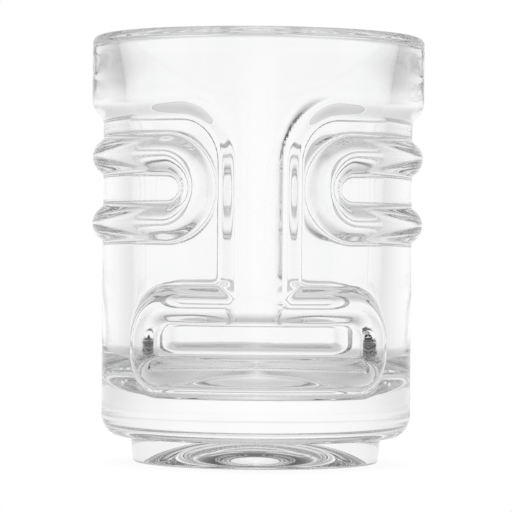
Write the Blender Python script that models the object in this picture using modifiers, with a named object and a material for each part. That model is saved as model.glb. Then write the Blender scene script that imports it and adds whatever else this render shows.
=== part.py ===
"""A clear tiki mug: one piece of press-moulded glass, a turned cup with a carved-style face in relief.

Metres, +Z up. The origin is the middle of the foot, on the surface that the mug stands on.
The face looks towards -Y, and the same face looks towards +Y, one from each half of the mould.
"""

import math

import bpy
import numpy as np

MM = 0.001

# The cup, from its foot to its lip
HEIGHT = 115 * MM
HEADBAND_RADIUS = 45 * MM
BODY_RADIUS = 41.7 * MM
SHOULDER_ROUND = 5.3 * MM
UNDERSIDE_Z = 6.9 * MM
FOOT_TOP_RADIUS = 33.9 * MM
FOOT_RADIUS = 33.3 * MM
FOOT_ROUND = 0.8 * MM
LIP_ROUND = 1.8 * MM
LIP_INNER_HEIGHT = 3.5 * MM

# The punt under the foot: a shallow dome, part of an ellipse that its rim cuts at this angle from level
PUNT_RADIUS = 21 * MM
PUNT_DEPTH = 8 * MM
PUNT_RIM_ANGLE = 20

# The hollow that the plunger leaves: a slight taper that opens out to the lip
FLOOR_Z = 18 * MM
FLOOR_ROUND = 14 * MM
HOLLOW_RADIUS = 33.2 * MM
TAPER = 0.02
FLARE_Z = 77 * MM
FLARE_PER_SQUARE = 2.6

# The headband and the nose, which stand at one level and meet in a rounded corner at each brow
RELIEF = HEADBAND_RADIUS - BODY_RADIUS
FACE_RADIUS = (HEADBAND_RADIUS + BODY_RADIUS) / 2
HEADBAND_Z = 96.9 * MM
SLOPE_WIDTH = 6.2 * MM
NOSE_HALF_WIDTH = 6 * MM
NOSE_END_Z = 43.7 * MM
NOSE_END_SLOPE = 2 * MM
BROW_ROUND = 17 * MM

# The eyes and the mouth: loops of one ridge, which has a round back and a hollow foot
RIDGE_ROUND = 5.1 * MM
RIDGE_CENTRE_RADIUS = 39.7 * MM
RIDGE_FOOT_ROUND = 2 * MM
BLEND = 0.5 * MM
EYE_Z = 73.3 * MM
EYE_HALF_HEIGHT = 9 * MM
EYE_FRONT_ANGLE = math.radians(35)
MOUTH_Z = 33.65 * MM
MOUTH_HALF_HEIGHT = 9.45 * MM
MOUTH_UPPER_CORNER = 9.4 * MM
MOUTH_LOWER_CORNER = 6 * MM
MOUTH_SIDE_ANGLE = math.radians(46.2)
NOSTRIL_FROM = 2 * MM
NOSTRIL_ROUND = 6 * MM

# How finely the shape is cut into faces
COLUMNS = 240
ROW_STEP = 1 * MM
HOLLOW_ROWS = 16
HEADBAND_ROWS = 4
ROUND_STEPS = 8
KEPT_FACES = 0.14
FLAT_WITHIN = 0.05 * MM

GLASS_COLOUR = (0.97, 0.985, 0.98, 1)
GLASS_IOR = 1.5
GLASS_ROUGHNESS = 0.02


def clear_scene():
    for old in list(bpy.data.objects):
        bpy.data.objects.remove(old, do_unlink=True)


def smooth_step(share):
    share = np.clip(share, 0, 1)
    return share * share * (3 - 2 * share)


def arc(centre_r, centre_z, radius, start, end, tall=1):
    """Points round part of a circle in the section, or of an ellipse that is tall times as high."""
    turns = np.radians(np.linspace(start, end, ROUND_STEPS + 1))
    return [(centre_r + radius * math.cos(a), centre_z + tall * radius * math.sin(a)) for a in turns]


def hollow_radius(z):
    flare = max(z - FLARE_Z, 0)
    return HOLLOW_RADIUS + TAPER * (z - FLOOR_Z) + FLARE_PER_SQUARE * flare * flare


def hollow_section():
    """Half of the section from the middle of the hollow's floor to the top of the lip."""
    wall_low = FLOOR_Z + FLOOR_ROUND
    lip_low = HEIGHT - LIP_INNER_HEIGHT
    crest = HEADBAND_RADIUS - LIP_ROUND
    lip_width = crest - hollow_radius(lip_low)
    points = [(0, FLOOR_Z)]
    points += arc(hollow_radius(wall_low) - FLOOR_ROUND, wall_low, FLOOR_ROUND, -90, 0)
    rows = np.linspace(wall_low, lip_low, HOLLOW_ROWS + 1)[1:-1]
    points += [(hollow_radius(z), z) for z in rows]
    points += arc(crest, lip_low, lip_width, 180, 90, LIP_INNER_HEIGHT / lip_width)
    return points


def outer_section():
    """Half of the section from the lip down the wall to the middle of the punt, without the relief."""
    lip_low = HEIGHT - LIP_ROUND
    wall_low = UNDERSIDE_Z + SHOULDER_ROUND
    rows = round((HEADBAND_Z - wall_low) / ROW_STEP)
    points = arc(HEADBAND_RADIUS - LIP_ROUND, lip_low, LIP_ROUND, 90, 0)[1:]
    points += [(HEADBAND_RADIUS, z) for z in np.linspace(lip_low, HEADBAND_Z, HEADBAND_ROWS + 1)[1:-1]]
    points += [(BODY_RADIUS, z) for z in np.linspace(HEADBAND_Z, wall_low, rows + 1)[:-1]]
    points += arc(BODY_RADIUS - SHOULDER_ROUND, wall_low, SHOULDER_ROUND, 0, -90)
    points += [(FOOT_TOP_RADIUS, UNDERSIDE_Z)]
    points += arc(FOOT_RADIUS - FOOT_ROUND, FOOT_ROUND, FOOT_ROUND, 0, -90)
    rim = math.radians(PUNT_RIM_ANGLE)
    width = PUNT_RADIUS / math.cos(rim)
    rise = PUNT_DEPTH / (1 - math.sin(rim))
    points += arc(0, PUNT_DEPTH - rise, width, PUNT_RIM_ANGLE, 90, rise / width)[:-1]
    points += [(0, PUNT_DEPTH)]
    return points


def turned(name, points):
    """The section turned about the Z axis, as a mesh of its own."""
    mesh = bpy.data.meshes.new(name + "_section")
    edges = [(i, i + 1) for i in range(len(points) - 1)]
    mesh.from_pydata([(r, 0, z) for r, z in points], edges, [])
    profile = bpy.data.objects.new(name + "_section", mesh)
    bpy.context.scene.collection.objects.link(profile)
    screw = profile.modifiers.new("Turn", "SCREW")
    screw.axis = "Z"
    screw.steps = COLUMNS
    screw.render_steps = COLUMNS
    screw.use_merge_vertices = True
    screw.merge_threshold = 0.00001
    graph = bpy.context.evaluated_depsgraph_get()
    solid = bpy.data.meshes.new_from_object(profile.evaluated_get(graph))
    solid.name = name
    bpy.data.objects.remove(profile)
    return solid


def brow_and_nose(across, z):
    """The height of the headband and the nose, at a distance along the wall from the face's middle."""
    past_nose = across - NOSE_HALF_WIDTH
    below_band = HEADBAND_Z - z
    corner = BROW_ROUND - np.hypot(BROW_ROUND - past_nose, BROW_ROUND - below_band)
    in_corner = (past_nose < BROW_ROUND) & (below_band < BROW_ROUND)
    away = np.where(in_corner, corner, np.minimum(past_nose, below_band))
    height = 1 - smooth_step(away / SLOPE_WIDTH)
    below_nose = 1 - smooth_step((NOSE_END_Z - z) / NOSE_END_SLOPE)
    return RELIEF * height * below_nose


def ridge(away):
    """The height of a round-backed ridge with a hollow foot, at a distance from its middle line."""
    sunk = BODY_RADIUS - RIDGE_CENTRE_RADIUS
    reach = RIDGE_ROUND + RIDGE_FOOT_ROUND
    half_width = math.sqrt(reach**2 - (sunk + RIDGE_FOOT_ROUND) ** 2)
    away = np.minimum(np.abs(away), half_width)
    back = np.sqrt(RIDGE_ROUND**2 - np.minimum(away, RIDGE_ROUND) ** 2) - sunk
    foot = RIDGE_FOOT_ROUND - np.sqrt(np.maximum(RIDGE_FOOT_ROUND**2 - (half_width - away) ** 2, 0))
    return np.where(away < half_width * RIDGE_ROUND / reach, back, foot)


def loop_distance(past_side, above_middle, half_height, corner):
    """The distance outward from a loop's middle line, where past_side is the distance beyond its side."""
    past_corner = past_side + corner
    past_run = np.abs(above_middle) - half_height + corner
    outside = np.hypot(np.maximum(past_corner, 0), np.maximum(past_run, 0))
    return outside + np.minimum(np.maximum(past_corner, past_run), 0) - corner


def blended(first, second):
    """The higher of two surfaces, with a fillet where they cross."""
    near = np.maximum(BLEND - np.abs(first - second), 0)
    return np.maximum(first, second) + near * near / (4 * BLEND)


def in_nostril_corner(mouth_away, across):
    """The mouth's distances, drawn in where its upper run meets the nose, to round that corner."""
    past_nose = np.clip(across - NOSE_HALF_WIDTH - NOSTRIL_FROM, 0, NOSTRIL_ROUND)
    past_mouth = np.clip(mouth_away - RIDGE_ROUND, 0, NOSTRIL_ROUND)
    drawn_in = NOSTRIL_ROUND - np.hypot(NOSTRIL_ROUND - past_nose, NOSTRIL_ROUND - past_mouth)
    return np.minimum(mouth_away, RIDGE_ROUND + drawn_in)


def relief(angle, z):
    """How far the wall stands out from the body, at an angle from the middle of the nearer face."""
    across = angle * FACE_RADIUS
    before_eye = EYE_FRONT_ANGLE * FACE_RADIUS - EYE_HALF_HEIGHT - across
    eye = loop_distance(before_eye, z - EYE_Z, EYE_HALF_HEIGHT, EYE_HALF_HEIGHT)
    past_mouth = across - MOUTH_SIDE_ANGLE * FACE_RADIUS
    corner = np.where(z > MOUTH_Z, MOUTH_UPPER_CORNER, MOUTH_LOWER_CORNER)
    mouth = loop_distance(past_mouth, z - MOUTH_Z, MOUTH_HALF_HEIGHT, corner)
    mouth = np.where(z > MOUTH_Z, in_nostril_corner(mouth, across), mouth)
    height = brow_and_nose(angle * HEADBAND_RADIUS, z)
    return blended(blended(height, ridge(eye)), ridge(mouth))


def raise_relief(mesh):
    """Moves the wall's points outward by the relief."""
    places = np.empty(len(mesh.vertices) * 3)
    mesh.vertices.foreach_get("co", places)
    x, y, z = places.reshape(-1, 3).T
    radius = np.hypot(x, y)
    on_wall = (np.abs(radius - BODY_RADIUS) < FLAT_WITHIN) & (z > UNDERSIDE_Z + SHOULDER_ROUND)
    angle = np.arctan2(np.abs(x), np.abs(y))
    grown = np.where(on_wall, (BODY_RADIUS + relief(angle, z)) / np.maximum(radius, MM), 1)
    moved = np.column_stack([x * grown, y * grown, z])
    mesh.vertices.foreach_set("co", moved.ravel())
    mesh.update()


def glass_material():
    material = bpy.data.materials.new("clear_glass")
    material.use_nodes = True
    shader = material.node_tree.nodes["Principled BSDF"]
    shader.inputs["Base Color"].default_value = GLASS_COLOUR
    shader.inputs["Metallic"].default_value = 0
    shader.inputs["Roughness"].default_value = GLASS_ROUGHNESS
    shader.inputs["IOR"].default_value = GLASS_IOR
    shader.inputs["Transmission Weight"].default_value = 1
    return material


def mug_body(collection):
    """The whole mug, with the fine turned mesh thinned to what the relief needs."""
    mesh = turned("mug_body", hollow_section() + outer_section())
    raise_relief(mesh)
    fine = bpy.data.objects.new("mug_body_fine", mesh)
    bpy.context.scene.collection.objects.link(fine)
    thin = fine.modifiers.new("Thin", "DECIMATE")
    thin.ratio = KEPT_FACES
    graph = bpy.context.evaluated_depsgraph_get()
    body = bpy.data.meshes.new_from_object(fine.evaluated_get(graph))
    body.name = "mug_body"
    bpy.data.objects.remove(fine)
    for vertex in body.vertices:
        if abs(vertex.co.z) < FLAT_WITHIN:
            vertex.co.z = 0
    body.shade_smooth()
    body.set_sharp_from_angle(angle=math.radians(40))
    body.materials.append(glass_material())
    collection.objects.link(bpy.data.objects.new("mug_body", body))


def main():
    clear_scene()
    collection = bpy.data.collections.new("tiki_mug")
    bpy.context.scene.collection.children.link(collection)
    mug_body(collection)


main()
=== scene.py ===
"""The looks of a clear tiki mug in press-moulded glass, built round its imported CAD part.

Metres, +Z up, in the CAD's frame: the mug stands on z = 0 and one of its two faces looks towards -Y.
"""

import math

import bpy
import numpy as np
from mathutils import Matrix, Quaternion, Vector


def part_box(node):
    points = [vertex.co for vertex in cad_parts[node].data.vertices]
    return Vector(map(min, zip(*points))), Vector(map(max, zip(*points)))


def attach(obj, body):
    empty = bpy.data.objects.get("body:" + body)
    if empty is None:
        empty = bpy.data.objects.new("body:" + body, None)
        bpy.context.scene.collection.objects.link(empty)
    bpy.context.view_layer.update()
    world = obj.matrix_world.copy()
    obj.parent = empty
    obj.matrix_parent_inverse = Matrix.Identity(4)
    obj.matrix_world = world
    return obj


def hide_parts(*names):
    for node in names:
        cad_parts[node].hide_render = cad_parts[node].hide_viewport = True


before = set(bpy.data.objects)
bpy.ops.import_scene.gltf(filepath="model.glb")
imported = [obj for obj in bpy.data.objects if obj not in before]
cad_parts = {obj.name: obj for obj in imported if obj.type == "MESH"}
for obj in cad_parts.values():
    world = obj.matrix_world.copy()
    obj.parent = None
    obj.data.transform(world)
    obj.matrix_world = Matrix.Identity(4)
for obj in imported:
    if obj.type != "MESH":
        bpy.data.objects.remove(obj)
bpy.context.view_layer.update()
mug_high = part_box("mug_body")[1]

MM = 0.001

# The cup, from its foot to its lip, and the punt, which is the dome under its foot
HEIGHT = mug_high.z
HEADBAND_RADIUS = mug_high.x
BODY_RADIUS = HEADBAND_RADIUS - 3.3 * MM
SHOULDER_ROUND = 5.3 * MM
UNDERSIDE_Z = 6.9 * MM
FOOT_TOP_RADIUS = 33.9 * MM
FOOT_RADIUS = 33.3 * MM
FOOT_ROUND = 0.8 * MM
PUNT_RADIUS = 21 * MM
PUNT_DEPTH = 8 * MM
PUNT_RIM_ANGLE = 20
LIP_ROUND = 1.8 * MM
LIP_INNER_HEIGHT = 3.5 * MM

# The hollow that the plunger leaves: a slight taper that opens out to the lip
FLOOR_Z = 18 * MM
FLOOR_ROUND = 14 * MM
HOLLOW_RADIUS = 33.2 * MM
TAPER = 0.02
FLARE_Z = 77 * MM
FLARE_PER_METRE = 2.6

# The relief: a headband and nose at one level, and ridges of one round section
RELIEF = HEADBAND_RADIUS - BODY_RADIUS
FACE_RADIUS = (HEADBAND_RADIUS + BODY_RADIUS) / 2
HEADBAND_Z = 96.9 * MM
SLOPE_WIDTH = 6.2 * MM
NOSE_HALF_WIDTH = 6 * MM
NOSE_END_Z = 43.7 * MM
NOSE_END_SLOPE = 2 * MM
BROW_ROUND = 17 * MM
RIDGE_ROUND = 5.1 * MM
RIDGE_CENTRE_RADIUS = 39.7 * MM
RIDGE_FOOT_ROUND = 2 * MM
BLEND = 0.5 * MM
EYE_Z = 73.3 * MM
EYE_HALF_HEIGHT = 9 * MM
EYE_FRONT_ANGLE = math.radians(35)
MOUTH_Z = 33.65 * MM
MOUTH_HALF_HEIGHT = 9.45 * MM
MOUTH_UPPER_CORNER = 9.4 * MM
MOUTH_LOWER_CORNER = 6 * MM
MOUTH_SIDE_ANGLE = math.radians(46.2)
NOSTRIL_FROM = 2 * MM
NOSTRIL_ROUND = 6 * MM

# How finely the shape is cut into faces: in each quarter turn, fine columns on the face and coarse
# ones on the side, and CRISP is the share of a straight run that its corner rings take
FINE_ANGLE = math.radians(58)
FINE_COLUMNS = 66
COARSE_COLUMNS = 30
WALL_ROWS = 136
HOLLOW_ROWS = 16
FLAT_STEPS = 5
ROUND_STEPS = 12
RUN_STEPS = 3
PUNT_STEPS = 24
CRISP = 0.03

# The camera: level with the mug's middle, far off, and a little to the left
CAMERA_AZIMUTH = math.radians(-1.1)
CAMERA_DISTANCE = 0.8
CAMERA_HEIGHT = 55.8 * MM
CAMERA_LENS = 207
CAMERA_SENSOR = 36
CAMERA_ROLL = math.radians(0.5)
CAMERA_SHIFT_X = -0.002
CAMERA_REACH = 100

# The glass: its index, its waves and ripples, the cords in the melt, and the scuffs under its foot
GLASS_INDEX = 1.5
WAVE_SIZE = 14 * MM
WAVE_HEIGHT = 0.06 * MM
RIPPLE_SIZE = 3 * MM
RIPPLE_HEIGHT = 0.004 * MM
POLISH_NOISE = (0.45, 0.7)
POLISH_ROUGHNESS = 0.03
CORD_STRETCH = 0.25
CORD_NOISE = (0.35, 0.5)
CORD_TINT = (0.975, 0.982, 0.98, 1)
SCUFF_SIZE = 0.6 * MM
SCUFF_HEIGHT = 0.6 * MM
SCUFF_NOISE = (0.4, 0.6)
SCUFF_ROUGHNESS = 0.35

# How many glass surfaces light may pass or glance off
MAX_BOUNCES = 24
GLOSSY_BOUNCES = 12

# The studio's brightness round the mug, by the angle in degrees from the backdrop behind it:
# low down, and higher up, with the rises in degrees between which one turns into the other
AROUND_LOW = [
    (0, 1), (15, 0.99), (30, 0.93), (45, 0.84), (60, 0.77), (75, 0.75), (90, 0.8),
    (110, 0.72), (130, 0.6), (155, 0.55), (180, 0.85),
]
AROUND_HIGH = [
    (0, 1), (15, 1), (30, 0.97), (45, 0.93), (60, 0.9), (75, 0.9), (90, 0.95),
    (110, 0.9), (130, 0.8), (155, 0.8), (180, 0.9),
]
HIGH_FROM = 2
HIGH_ABOVE = 4.5

# The studio's brightness by the rise in degrees, below the horizon and above it
BELOW = [
    (-90, 0.9), (-72, 0.9), (-55, 0.78), (-40, 0.72), (-30, 0.66), (-22, 0.6), (-15, 0.68),
    (-8, 1), (0, 1),
]
ABOVE = [(8, 1), (16, 0.78), (24, 0.55), (34, 0.3), (45, 0.14), (56, 0.1), (64, 0.9), (90, 1)]

# The floor, just under the foot, and the soft shade on it
FLOOR_SIZE = 6
FLOOR_GAP = 0.4 * MM
SHADOW_REACH = 12 * MM
SHADOW_SHADE = 0.96


def smooth_step(share):
    """An even start and end to a change from 0 to 1."""
    share = np.clip(share, 0, 1)
    return share * share * (3 - 2 * share)


def arc(centre_r, centre_z, radius, start, end, steps=ROUND_STEPS, tall=1):
    """Points round part of a circle in the section, or of an ellipse that is tall times as high."""
    turns = np.radians(np.linspace(start, end, steps + 1))
    return [(centre_r + radius * math.cos(a), centre_z + tall * radius * math.sin(a)) for a in turns]


def run(start, end):
    """Points along a straight run of the section after its start, close to each end for crisp corners."""
    shares = [CRISP, *np.linspace(0, 1, RUN_STEPS + 1)[1:-1], 1 - CRISP, 1]
    return [(start[0] + (end[0] - start[0]) * s, start[1] + (end[1] - start[1]) * s) for s in shares]


def hollow_radius(z):
    """The hollow's radius on its wall at a height."""
    flare = np.maximum(z - FLARE_Z, 0)
    return HOLLOW_RADIUS + TAPER * (z - FLOOR_Z) + FLARE_PER_METRE * flare * flare


def hollow_section():
    """Half of the section from the middle of the hollow's floor to the top of the lip."""
    wall_low = FLOOR_Z + FLOOR_ROUND
    corner = hollow_radius(wall_low) - FLOOR_ROUND
    lip_low = HEIGHT - LIP_INNER_HEIGHT
    crest = HEADBAND_RADIUS - LIP_ROUND
    lip_width = crest - hollow_radius(lip_low)
    points = [(r, FLOOR_Z) for r in np.linspace(0, corner, FLAT_STEPS + 1)[1:-1]]
    points += arc(corner, wall_low, FLOOR_ROUND, -90, 0)
    points += [(hollow_radius(z), z) for z in np.linspace(wall_low, lip_low, HOLLOW_ROWS)[1:-1]]
    points += arc(crest, lip_low, lip_width, 180, 90, tall=LIP_INNER_HEIGHT / lip_width)
    return points


def outer_section():
    """Half of the section from the lip down the wall to the middle of the punt, without the relief."""
    lip_low = HEIGHT - LIP_ROUND
    wall_low = UNDERSIDE_Z + SHOULDER_ROUND
    shoulder_end = BODY_RADIUS - SHOULDER_ROUND
    rest_end = FOOT_RADIUS - FOOT_ROUND
    points = arc(HEADBAND_RADIUS - LIP_ROUND, lip_low, LIP_ROUND, 90, 0)[1:]
    points += [(HEADBAND_RADIUS, z) for z in np.linspace(lip_low, HEADBAND_Z, FLAT_STEPS + 1)[1:-1]]
    points += [(BODY_RADIUS, z) for z in np.linspace(HEADBAND_Z, wall_low, WALL_ROWS + 1)[:-1]]
    points += arc(shoulder_end, wall_low, SHOULDER_ROUND, 0, -90)
    points += run((shoulder_end, UNDERSIDE_Z), (FOOT_TOP_RADIUS, UNDERSIDE_Z))
    points += run((FOOT_TOP_RADIUS, UNDERSIDE_Z), (FOOT_RADIUS, FOOT_ROUND))
    points += arc(rest_end, FOOT_ROUND, FOOT_ROUND, 0, -90)[1:]
    points += run((rest_end, 0), (PUNT_RADIUS, 0))
    rim = math.radians(PUNT_RIM_ANGLE)
    width = PUNT_RADIUS / math.cos(rim)
    rise = PUNT_DEPTH / (1 - math.sin(rim))
    points += arc(0, PUNT_DEPTH - rise, width, PUNT_RIM_ANGLE, 90, PUNT_STEPS, tall=rise / width)[1:-1]
    return points


def brow_and_nose(across, z):
    """The height of the headband and the nose, which meet in a rounded corner at each brow."""
    past_nose = across - NOSE_HALF_WIDTH
    below_band = HEADBAND_Z - z
    corner = BROW_ROUND - np.hypot(BROW_ROUND - past_nose, BROW_ROUND - below_band)
    in_corner = (past_nose < BROW_ROUND) & (below_band < BROW_ROUND)
    away = np.where(in_corner, corner, np.minimum(past_nose, below_band))
    height = 1 - smooth_step(away / SLOPE_WIDTH)
    below_nose = 1 - smooth_step((NOSE_END_Z - z) / NOSE_END_SLOPE)
    return RELIEF * height * below_nose


def ridge(away):
    """The height of a round-backed ridge, with a fillet at its foot, away from its middle line."""
    sunk = BODY_RADIUS - RIDGE_CENTRE_RADIUS
    reach = RIDGE_ROUND + RIDGE_FOOT_ROUND
    half_width = math.sqrt(reach**2 - (sunk + RIDGE_FOOT_ROUND) ** 2)
    away = np.minimum(np.abs(away), half_width)
    back = np.sqrt(RIDGE_ROUND**2 - np.minimum(away, RIDGE_ROUND) ** 2) - sunk
    foot = RIDGE_FOOT_ROUND - np.sqrt(np.maximum(RIDGE_FOOT_ROUND**2 - (half_width - away) ** 2, 0))
    return np.where(away < half_width * RIDGE_ROUND / reach, back, foot)


def loop_distance(past_side, above_middle, half_height, corner):
    """The distance outward from a loop's middle line, where past_side is the distance beyond its side."""
    past_corner = past_side + corner
    past_run = np.abs(above_middle) - half_height + corner
    outside = np.hypot(np.maximum(past_corner, 0), np.maximum(past_run, 0))
    return outside + np.minimum(np.maximum(past_corner, past_run), 0) - corner


def blended(first, second, round_by):
    """The higher of two surfaces, with a fillet where they cross."""
    near = np.maximum(round_by - np.abs(first - second), 0)
    return np.maximum(first, second) + near * near / (4 * round_by)


def in_nostril_corner(mouth_away, across):
    """The mouth's distances, drawn in where its upper run meets the nose, to round that corner."""
    past_nose = np.clip(across - NOSE_HALF_WIDTH - NOSTRIL_FROM, 0, NOSTRIL_ROUND)
    past_mouth = np.clip(mouth_away - RIDGE_ROUND, 0, NOSTRIL_ROUND)
    drawn_in = NOSTRIL_ROUND - np.hypot(NOSTRIL_ROUND - past_nose, NOSTRIL_ROUND - past_mouth)
    return np.minimum(mouth_away, RIDGE_ROUND + drawn_in)


def relief(angle, z):
    """How far the wall stands out from the body, at an angle from the middle of the nearer face."""
    across = angle * FACE_RADIUS
    before_eye = EYE_FRONT_ANGLE * FACE_RADIUS - EYE_HALF_HEIGHT - across
    eye = loop_distance(before_eye, z - EYE_Z, EYE_HALF_HEIGHT, EYE_HALF_HEIGHT)
    past_mouth = across - MOUTH_SIDE_ANGLE * FACE_RADIUS
    corner = np.where(z > MOUTH_Z, MOUTH_UPPER_CORNER, MOUTH_LOWER_CORNER)
    mouth = loop_distance(past_mouth, z - MOUTH_Z, MOUTH_HALF_HEIGHT, corner)
    mouth = np.where(z > MOUTH_Z, in_nostril_corner(mouth, across), mouth)
    height = brow_and_nose(angle * HEADBAND_RADIUS, z)
    return blended(blended(height, ridge(eye), BLEND), ridge(mouth), BLEND)


def column_angles():
    """The columns' angles round the mug from -Y: close together on each face, and wider on the sides."""
    fine = np.linspace(0, FINE_ANGLE, FINE_COLUMNS, endpoint=False)
    coarse = np.linspace(FINE_ANGLE, math.pi / 2, COARSE_COLUMNS, endpoint=False)
    quarter = np.concatenate([fine, coarse])
    half = np.concatenate([quarter, math.pi - np.append(quarter[1:], math.pi / 2)[::-1]])
    return np.concatenate([half, half + math.pi])


def mug_mesh():
    """The whole mug as one closed skin, in rings from the hollow's floor to the middle of the punt."""
    points = hollow_section()
    first_outer = len(points)
    points += outer_section()
    radius, z = np.array(points).T[:, :, None]
    turn = column_angles()[None, :]
    angle = np.arccos(np.clip(np.abs(np.cos(turn)), 0, 1))
    wall = (np.arange(len(points)) >= first_outer)[:, None] & (radius == BODY_RADIUS)
    radius = np.where(wall, BODY_RADIUS + relief(angle, z), radius)
    rings = np.stack(np.broadcast_arrays(radius * np.sin(turn), -radius * np.cos(turn), z), axis=-1)
    ring_count, columns = rings.shape[:2]
    ends = [(0, 0, FLOOR_Z), (0, 0, PUNT_DEPTH)]
    vertices = np.concatenate([rings.reshape(-1, 3), ends])
    floor_end = ring_count * columns
    punt_end = floor_end + 1
    faces = []
    for ring in range(ring_count - 1):
        low = ring * columns
        for column in range(columns):
            beside = (column + 1) % columns
            faces.append((low + column, low + columns + column, low + columns + beside, low + beside))
    last = floor_end - columns
    for column in range(columns):
        beside = (column + 1) % columns
        faces.append((floor_end, column, beside))
        faces.append((punt_end, last + beside, last + column))
    mesh = bpy.data.meshes.new("mug_glass")
    mesh.from_pydata(vertices.tolist(), [], faces)
    mesh.shade_smooth()
    return mesh


def node(tree, kind, **settings):
    """A new node in a shader tree, with its settings."""
    made = tree.nodes.new(kind)
    for name, value in settings.items():
        setattr(made, name, value)
    return made


def calculated(tree, operation, *sources):
    """The result of a math node, whose sources are numbers or other nodes' outputs."""
    made = node(tree, "ShaderNodeMath", operation=operation)
    for socket, source in zip(made.inputs, sources):
        if isinstance(source, (int, float)):
            socket.default_value = source
        else:
            tree.links.new(source, socket)
    return made.outputs[0]


def ranged(tree, source, low, high, to_low, to_high):
    """A value carried from one range smoothly to another, and held at its ends."""
    made = node(tree, "ShaderNodeMapRange", interpolation_type="SMOOTHSTEP")
    tree.links.new(source, made.inputs["Value"])
    for name, value in zip(("From Min", "From Max", "To Min", "To Max"), (low, high, to_low, to_high)):
        made.inputs[name].default_value = value
    return made.outputs["Result"]


def noise(tree, place, size, detail):
    """Soft noise whose patches are about this size across."""
    made = node(tree, "ShaderNodeTexNoise")
    tree.links.new(place, made.inputs["Vector"])
    made.inputs["Scale"].default_value = 1 / size
    made.inputs["Detail"].default_value = detail
    return made.outputs["Fac"]


def glass_material():
    """Fire-polished glass: faint waves and ripples, cords in the melt, and a foot scuffed by tables."""
    material = bpy.data.materials.new("pressed_glass")
    material.use_nodes = True
    tree = material.node_tree
    shader = tree.nodes["Principled BSDF"]
    shader.inputs["IOR"].default_value = GLASS_INDEX
    shader.inputs["Transmission Weight"].default_value = 1
    place = node(tree, "ShaderNodeTexCoord").outputs["Object"]
    parts = node(tree, "ShaderNodeSeparateXYZ")
    tree.links.new(place, parts.inputs[0])
    waves = noise(tree, place, WAVE_SIZE, detail=1)
    ripple = noise(tree, place, RIPPLE_SIZE, detail=2)
    cords = node(tree, "ShaderNodeMapping")
    cords.inputs["Scale"].default_value = (1, 1, CORD_STRETCH)
    tree.links.new(place, cords.inputs["Vector"])
    tint = node(tree, "ShaderNodeMix", data_type="RGBA")
    tint.inputs["A"].default_value = CORD_TINT
    tint.inputs["B"].default_value = (1, 1, 1, 1)
    cord = noise(tree, cords.outputs["Vector"], WAVE_SIZE, detail=2)
    tree.links.new(ranged(tree, cord, *CORD_NOISE, 0, 1), tint.inputs["Factor"])
    tree.links.new(tint.outputs["Result"], shader.inputs["Base Color"])
    scuffs = noise(tree, place, SCUFF_SIZE, detail=4)
    scuffs = ranged(tree, scuffs, *SCUFF_NOISE, SCUFF_ROUGHNESS / 3, SCUFF_ROUGHNESS)
    at_rest = ranged(tree, parts.outputs["Z"], SCUFF_HEIGHT / 2, SCUFF_HEIGHT, 1, 0)
    worn = calculated(tree, "MULTIPLY", scuffs, at_rest)
    polish = ranged(tree, ripple, *POLISH_NOISE, 0, POLISH_ROUGHNESS)
    tree.links.new(calculated(tree, "MAXIMUM", polish, worn), shader.inputs["Roughness"])
    height = calculated(tree, "MULTIPLY", waves, WAVE_HEIGHT)
    height = calculated(tree, "MULTIPLY_ADD", ripple, RIPPLE_HEIGHT, height)
    bump = node(tree, "ShaderNodeBump")
    bump.inputs["Distance"].default_value = 1
    tree.links.new(height, bump.inputs["Height"])
    tree.links.new(bump.outputs["Normal"], shader.inputs["Normal"])
    return material


def add_mug():
    """The glass mug, in the place of its CAD body."""
    mug = bpy.data.objects.new("mug_glass", mug_mesh())
    bpy.context.scene.collection.objects.link(mug)
    mug.data.materials.append(glass_material())
    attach(mug, "root")
    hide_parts("mug_body")


def ramp(tree, source, low, high, stops):
    """A brightness that changes along a value, through the (value, brightness) stops."""
    share = node(tree, "ShaderNodeMapRange")
    share.inputs["From Min"].default_value = low
    share.inputs["From Max"].default_value = high
    tree.links.new(source, share.inputs["Value"])
    colours = node(tree, "ShaderNodeValToRGB")
    tree.links.new(share.outputs["Result"], colours.inputs["Fac"])
    elements = colours.color_ramp.elements
    elements.remove(elements[1])
    for i, (value, brightness) in enumerate(stops):
        place = (value - low) / (high - low)
        element = elements[0] if i == 0 else elements.new(place)
        element.position = place
        element.color = (brightness, brightness, brightness, 1)
    return colours.outputs["Color"]


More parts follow.
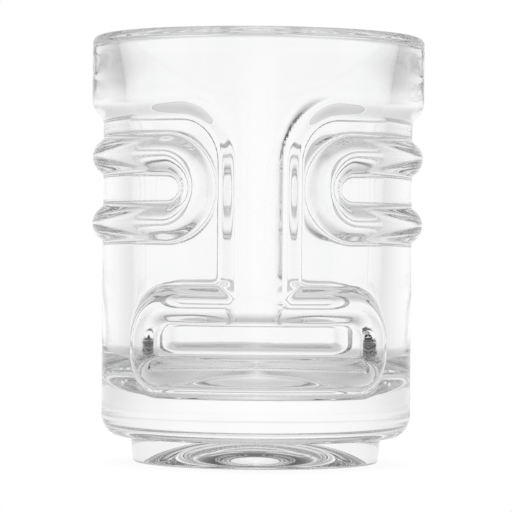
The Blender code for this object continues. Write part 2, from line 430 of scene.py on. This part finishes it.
def add_studio_light():
    """A white studio: bright behind the mug, softer at the sides, and pure white seen directly."""
    world = bpy.data.worlds.new("studio")
    bpy.context.scene.world = world
    world.use_nodes = True
    tree = world.node_tree
    tree.nodes.clear()
    direction = node(tree, "ShaderNodeTexCoord").outputs["Generated"]
    parts = node(tree, "ShaderNodeSeparateXYZ")
    tree.links.new(direction, parts.inputs[0])
    turn = calculated(tree, "ARCTAN2", parts.outputs["X"], parts.outputs["Y"])
    turn = calculated(tree, "DEGREES", calculated(tree, "ABSOLUTE", turn))
    rise = calculated(tree, "DEGREES", calculated(tree, "ARCSINE", parts.outputs["Z"]))
    around = node(tree, "ShaderNodeMix", data_type="RGBA")
    tree.links.new(ranged(tree, rise, HIGH_FROM, HIGH_ABOVE, 0, 1), around.inputs["Factor"])
    tree.links.new(ramp(tree, turn, 0, 180, AROUND_LOW), around.inputs["A"])
    tree.links.new(ramp(tree, turn, 0, 180, AROUND_HIGH), around.inputs["B"])
    light = node(tree, "ShaderNodeMix", data_type="RGBA", blend_type="MULTIPLY")
    light.inputs["Factor"].default_value = 1
    tree.links.new(around.outputs["Result"], light.inputs["A"])
    tree.links.new(ramp(tree, rise, -90, 90, BELOW + ABOVE), light.inputs["B"])
    seen = node(tree, "ShaderNodeMix", data_type="RGBA")
    tree.links.new(node(tree, "ShaderNodeLightPath").outputs["Is Camera Ray"], seen.inputs["Factor"])
    tree.links.new(light.outputs["Result"], seen.inputs["A"])
    seen.inputs["B"].default_value = (1, 1, 1, 1)
    background = node(tree, "ShaderNodeBackground")
    tree.links.new(seen.outputs["Result"], background.inputs["Color"])
    output = node(tree, "ShaderNodeOutputWorld")
    tree.links.new(background.outputs["Background"], output.inputs["Surface"])


def floor_material():
    """White where it is seen directly, softly shaded at the foot, and clear to light in the glass."""
    material = bpy.data.materials.new("white_floor")
    material.use_nodes = True
    tree = material.node_tree
    tree.nodes.clear()
    place = node(tree, "ShaderNodeTexCoord").outputs["Object"]
    away = node(tree, "ShaderNodeVectorMath", operation="LENGTH")
    tree.links.new(place, away.inputs[0])
    shade = ranged(tree, away.outputs["Value"], FOOT_RADIUS, FOOT_RADIUS + SHADOW_REACH, SHADOW_SHADE, 1)
    lit = node(tree, "ShaderNodeEmission")
    tree.links.new(shade, lit.inputs["Color"])
    seen = node(tree, "ShaderNodeMixShader")
    tree.links.new(node(tree, "ShaderNodeLightPath").outputs["Is Camera Ray"], seen.inputs["Fac"])
    tree.links.new(node(tree, "ShaderNodeBsdfTransparent").outputs["BSDF"], seen.inputs[1])
    tree.links.new(lit.outputs["Emission"], seen.inputs[2])
    output = node(tree, "ShaderNodeOutputMaterial")
    tree.links.new(seen.outputs["Shader"], output.inputs["Surface"])
    return material


def add_floor():
    """A wide white floor just under the mug, not attached to it."""
    half = FLOOR_SIZE / 2
    mesh = bpy.data.meshes.new("floor")
    corners = [(-half, -half, 0), (half, -half, 0), (half, half, 0), (-half, half, 0)]
    mesh.from_pydata(corners, [], [(0, 1, 2, 3)])
    mesh.materials.append(floor_material())
    floor = bpy.data.objects.new("floor", mesh)
    floor.location.z = -FLOOR_GAP
    bpy.context.scene.collection.objects.link(floor)


def add_camera():
    """The photograph's view: a long lens that looks straight at the face that faces -Y."""
    camera = bpy.data.objects.new("camera", bpy.data.cameras.new("camera"))
    bpy.context.scene.collection.objects.link(camera)
    bpy.context.scene.camera = camera
    towards = Vector((-math.sin(CAMERA_AZIMUTH), math.cos(CAMERA_AZIMUTH), 0))
    camera.location = Vector((0, 0, CAMERA_HEIGHT)) - CAMERA_DISTANCE * towards
    camera.rotation_mode = "QUATERNION"
    level = towards.to_track_quat("-Z", "Y")
    camera.rotation_quaternion = level @ Quaternion((0, 0, 1), CAMERA_ROLL)
    camera.data.lens = CAMERA_LENS
    camera.data.sensor_width = CAMERA_SENSOR
    camera.data.shift_x = CAMERA_SHIFT_X
    camera.data.clip_end = CAMERA_REACH


def set_look():
    """Light passes many glass surfaces, and the white studio is shown as it is."""
    scene = bpy.context.scene
    scene.cycles.max_bounces = MAX_BOUNCES
    scene.cycles.transmission_bounces = MAX_BOUNCES
    scene.cycles.glossy_bounces = GLOSSY_BOUNCES
    scene.view_settings.view_transform = "Standard"


add_mug()
add_floor()
add_studio_light()
add_camera()
set_look()

bpy.context.view_layer.update()
